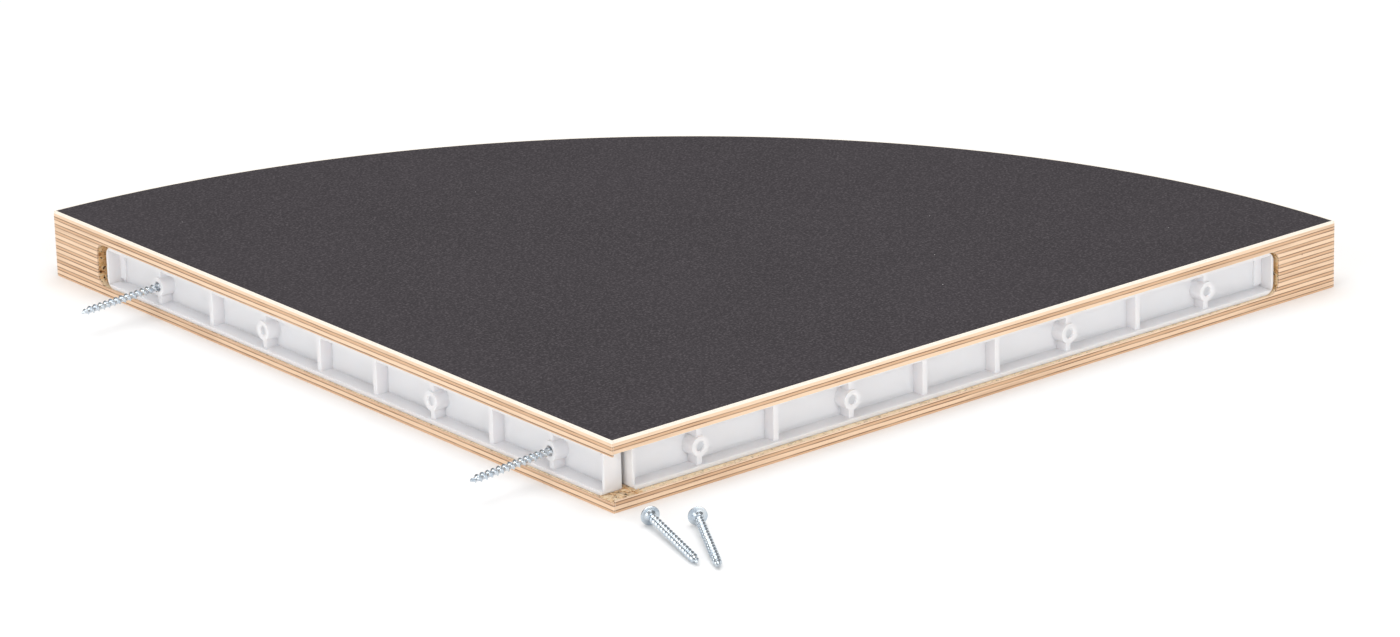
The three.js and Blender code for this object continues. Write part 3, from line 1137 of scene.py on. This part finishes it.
    def _hole(self, place: float, through: bool) -> Object:
        """Tool for a screw hole with a broken edge at its mouth.

        Args:
            place: Middle of the hole along the rail.
            through: Whether a screw has been through it. Any other hole keeps a thin web below its mouth.

        Returns:
            The tool, in one part or in two with the web's thickness between them.
        """
        bm = bmesh.new()
        mouth = self.boss_front
        outside = mouth - self.tool_past
        behind = self.depth + self.tool_past
        wide = self.hole_radius + self.hole_lead
        front = ((0, outside), (wide, outside), (wide, mouth), (self.hole_radius, mouth + self.hole_lead))
        back = ((self.hole_radius, behind), (0, behind))
        if through:
            turned(bm, (*front, *back), 40)
        else:
            web_front = mouth + self.web_depth
            web_back = web_front + self.web
            turned(bm, (*front, (self.hole_radius, web_front), (0, web_front)), 40)
            turned(bm, ((0, web_back), (self.hole_radius, web_back), *back), 40)
        merged(bm)
        return as_object(bm, "hole_tool", Matrix.Translation((place, 0, self.height / 2)))


# ---------------------------------------------------------------- Screws


@dataclass
class Screw:
    """5 x 60 mm screw with a flanged head: Y runs from the under-head face to the point, in millimetres."""

    node: str
    turn: float = 0.0  # degrees about its own axis
    length: float = 60.0
    head_radius: float = 5.0
    head_height: float = 2.9
    flange: float = 0.9
    collar_radius: float = 2.9
    collar: float = 1.4
    core_radius: float = 1.55
    thread_radius: float = 2.35
    pitch: float = 3.4
    point: float = 5.0
    recess_radius: float = 1.75
    recess_depth: float = 1.5
    lobes: int = 6
    lobe_depth: float = 0.14  # of the recess's radius
    steps: int = 28  # flats in a turn of the thread

    def build(self, zinc: Material) -> None:
        """Makes the screw and puts it on its body.

        Args:
            zinc: Its finish.
        """
        bm = self._shank()
        self._head(bm)
        piece = as_object(bm, self.node.replace("screw", "thread_screw"), self._seat())
        piece.data.shade_smooth()
        piece.data.set_sharp_from_angle(angle=math.radians(40))
        fit(piece, self.node, "zinc_steel", zinc, self.node)

    def _seat(self) -> Matrix:
        """Place of the screw, from the CAD node: its point, and its axis through the middle of its points."""
        points = [vert.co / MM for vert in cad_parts[self.node].data.vertices]
        middle = sum(points, Vector()) / len(points)
        tip = max(points, key=lambda point: (point - middle).length)
        along = (tip - middle).normalized()
        spin = Matrix.Rotation(math.radians(self.turn), 4, "Y")
        return (
            Matrix.Translation(tip - along * self.length)
            @ along.to_track_quat("Y", "Z").to_matrix().to_4x4() @ spin
        )

    def _shank(self) -> BMesh:
        """Core and right-hand thread in one skin, swept up a helix one turn at a time."""
        bm = bmesh.new()
        root, crest, pitch = self.core_radius, self.thread_radius, self.pitch
        profile = (
            (root, 0), (root, 0.26), (root + 0.12, 0.31), (crest - 0.06, 0.46), (crest, 0.5),
            (crest - 0.06, 0.54), (root + 0.12, 0.69), (root, 0.74), (root, 1),
        )
        verts = [bm.verts.new((radius, (share - 1) * pitch, 0)) for radius, share in profile]
        edges = [bm.edges.new(pair) for pair in zip(verts, verts[1:])]
        turns = math.ceil(self.length / pitch) + 2
        bmesh.ops.spin(
            bm, geom=[*verts, *edges], cent=(0, 0, 0), axis=Axis.Y.value, angle=math.tau * turns,
            dvec=Axis.Y.value * (pitch / self.steps), steps=self.steps * turns,
        )
        bmesh.ops.remove_doubles(bm, verts=bm.verts, dist=1e-3)
        self._run_out(bm)
        bmesh.ops.remove_doubles(bm, verts=bm.verts, dist=1e-3)
        bmesh.ops.dissolve_degenerate(bm, dist=1e-3, edges=bm.edges)
        bmesh.ops.holes_fill(bm, edges=[edge for edge in bm.edges if edge.is_boundary], sides=0)
        bmesh.ops.recalc_face_normals(bm, faces=bm.faces)
        return bm

    def _run_out(self, bm: BMesh) -> None:
        """Runs the thread out at the collar and draws the shank down to its point."""
        start = 0.2
        for vert in bm.verts:
            radius = math.hypot(vert.co.x, vert.co.z)
            place = min(max(vert.co.y, start), self.length)
            grown = min(max((place - self.collar) / self.pitch, 0), 1)
            left = min((self.length - place) / self.point, 1)
            core = self.core_radius * left ** 0.6
            wanted = core + (radius - self.core_radius) * grown * left ** 0.4
            vert.co.x *= wanted / radius
            vert.co.z *= wanted / radius
            vert.co.y = place

    def _head(self, bm: BMesh) -> None:
        """Flanged head with a lobed recess and the raised collar under it."""
        top, rim, flange = -self.head_height, self.head_radius, -self.flange
        ring, recess = self.recess_radius, top + self.recess_depth
        collar, under = self.collar_radius, self.collar
        profile = (
            (0, recess + 0.3), (ring * 0.55, recess), (ring * 0.9, recess), (ring, top + 0.12),
            (ring + 0.1, top + 0.02), (rim * 0.5, top), (rim * 0.62, top + 0.12), (rim * 0.72, top + 0.5),
            (rim * 0.78, top + 1.2), (rim * 0.80, flange - 0.15), (rim * 0.84, flange),
            (rim - 0.25, flange + 0.02), (rim - 0.06, flange + 0.14), (rim, flange + 0.35), (rim, -0.3),
            (rim - 0.08, -0.1), (rim - 0.3, 0), (collar + 0.35, 0), (collar + 0.08, 0.08),
            (collar - 0.1, 0.35), (self.core_radius + 0.25, under - 0.1), (self.core_radius * 0.9, under + 0.1),
            (0, under + 0.1),
        )
        before = set(bm.verts)
        turned(bm, profile, 72)
        head = [vert for vert in bm.verts if vert not in before]
        for vert in head:
            radius = math.hypot(vert.co.x, vert.co.z)
            if 0.2 < radius < ring + 0.05 and vert.co.y < recess + 0.1:
                swell = 1 + self.lobe_depth * math.cos(self.lobes * math.atan2(vert.co.z, vert.co.x))
                vert.co.x *= swell
                vert.co.z *= swell
        merged(bm, 1e-4)


# ---------------------------------------------------------------- Studio


@dataclass
class Studio:
    """Plain pale floor, soft lights all round and the camera."""

    place: Vector = Vector((-1.82317, -2.28636, 0.99762))
    azimuth: float = -38.686
    elevation: float = 19.223
    roll: float = 1.528
    lens: float = 144.2
    floor_half: float = 12.0
    paper: float = 0.93
    world: float = 0.3
    softboxes: tuple[tuple[str, tuple[float, float, float], float, float], ...] = (  # place, size and watts
        ("overhead", (0.2, 0.4, 4.0), 5.0, 165),
        ("left_fill", (-4.0, -0.6, 1.3), 3.0, 56),
        ("right_fill", (-0.6, -4.0, 1.3), 3.0, 62),
    )

    def build(self) -> None:
        """Makes the camera, the floor and the lights."""
        scene = bpy.context.scene
        scene.view_settings.view_transform = "Standard"
        self._camera(scene)
        self._floor()
        self._world(scene)
        for name, place, size, power in self.softboxes:
            self._softbox(name, Vector(place), size, power)

    def _camera(self, scene: Scene) -> None:
        """Camera at its place, turned by azimuth, elevation and a slight roll."""
        lens = bpy.data.cameras.new("camera")
        lens.lens = self.lens
        lens.clip_start, lens.clip_end = 0.05, 60
        camera = bpy.data.objects.new("camera", lens)
        azimuth, elevation, roll = (math.radians(a) for a in (self.azimuth, self.elevation, self.roll))
        turn = (
            Matrix.Rotation(azimuth, 4, "Z") @ Matrix.Rotation(-elevation, 4, "X")
            @ Matrix.Rotation(roll, 4, "Y") @ Matrix.Rotation(math.pi / 2, 4, "X")
        )
        camera.matrix_world = Matrix.Translation(self.place) @ turn
        scene.collection.objects.link(camera)
        scene.camera = camera

    def _floor(self) -> None:
        """Large pale floor under the board."""
        bm = bmesh.new()
        bmesh.ops.create_grid(bm, x_segments=1, y_segments=1, size=self.floor_half / MM)
        floor = as_object(bm, "studio_floor", Matrix.Identity(4))
        material = bpy.data.materials.new("studio_paper")
        material.use_nodes = True
        surface = material.node_tree.nodes["Principled BSDF"]
        surface.inputs["Base Color"].default_value = (self.paper, self.paper, self.paper, 1)
        surface.inputs["Roughness"].default_value = 0.9
        surface.inputs["Specular IOR Level"].default_value = 0.1
        floor.data.materials.append(material)

    def _world(self, scene: Scene) -> None:
        """Even white surroundings."""
        world = bpy.data.worlds.new("studio_world")
        world.use_nodes = True
        background = world.node_tree.nodes["Background"]
        background.inputs["Color"].default_value = (1, 1, 1, 1)
        background.inputs["Strength"].default_value = self.world
        scene.world = world

    def _softbox(self, name: str, place: Vector, size: float, power: float) -> None:
        """Square soft light aimed at the board."""
        light = bpy.data.lights.new(name, "AREA")
        light.shape = "SQUARE"
        light.size = size
        light.energy = power
        lamp = bpy.data.objects.new(name, light)
        aim = place - Vector((0, 0, 0.02))
        lamp.matrix_world = Matrix.Translation(place) @ aim.to_track_quat("Z", "Y").to_matrix().to_4x4()
        bpy.context.scene.collection.objects.link(lamp)


def main() -> None:
    """Builds the studio, the board, the rails and the screws."""
    logging.basicConfig(level=logging.INFO, format="%(name)s: %(message)s")
    Studio().build()
    groups = Groups(speck_group(), mottle_group(), wear_and_highlight_group())
    Board().build(
        ply=PlyBand(groups).material(), deck=DeckLaminate(groups).material(),
        backing=BackingLaminate(groups).material(), chips=Chipboard(groups).material(),
    )
    plastic = WhitePlastic(groups).material()
    FixingRail(Side.LEFT, screwed=(-3.5, 3.5)).build(plastic)
    FixingRail(Side.RIGHT).build(plastic)
    zinc = ZincPlate(groups).material()
    for node, turn in SCREW_TURNS.items():
        Screw(node, turn).build(zinc)


if __name__ == "__main__":
    main()
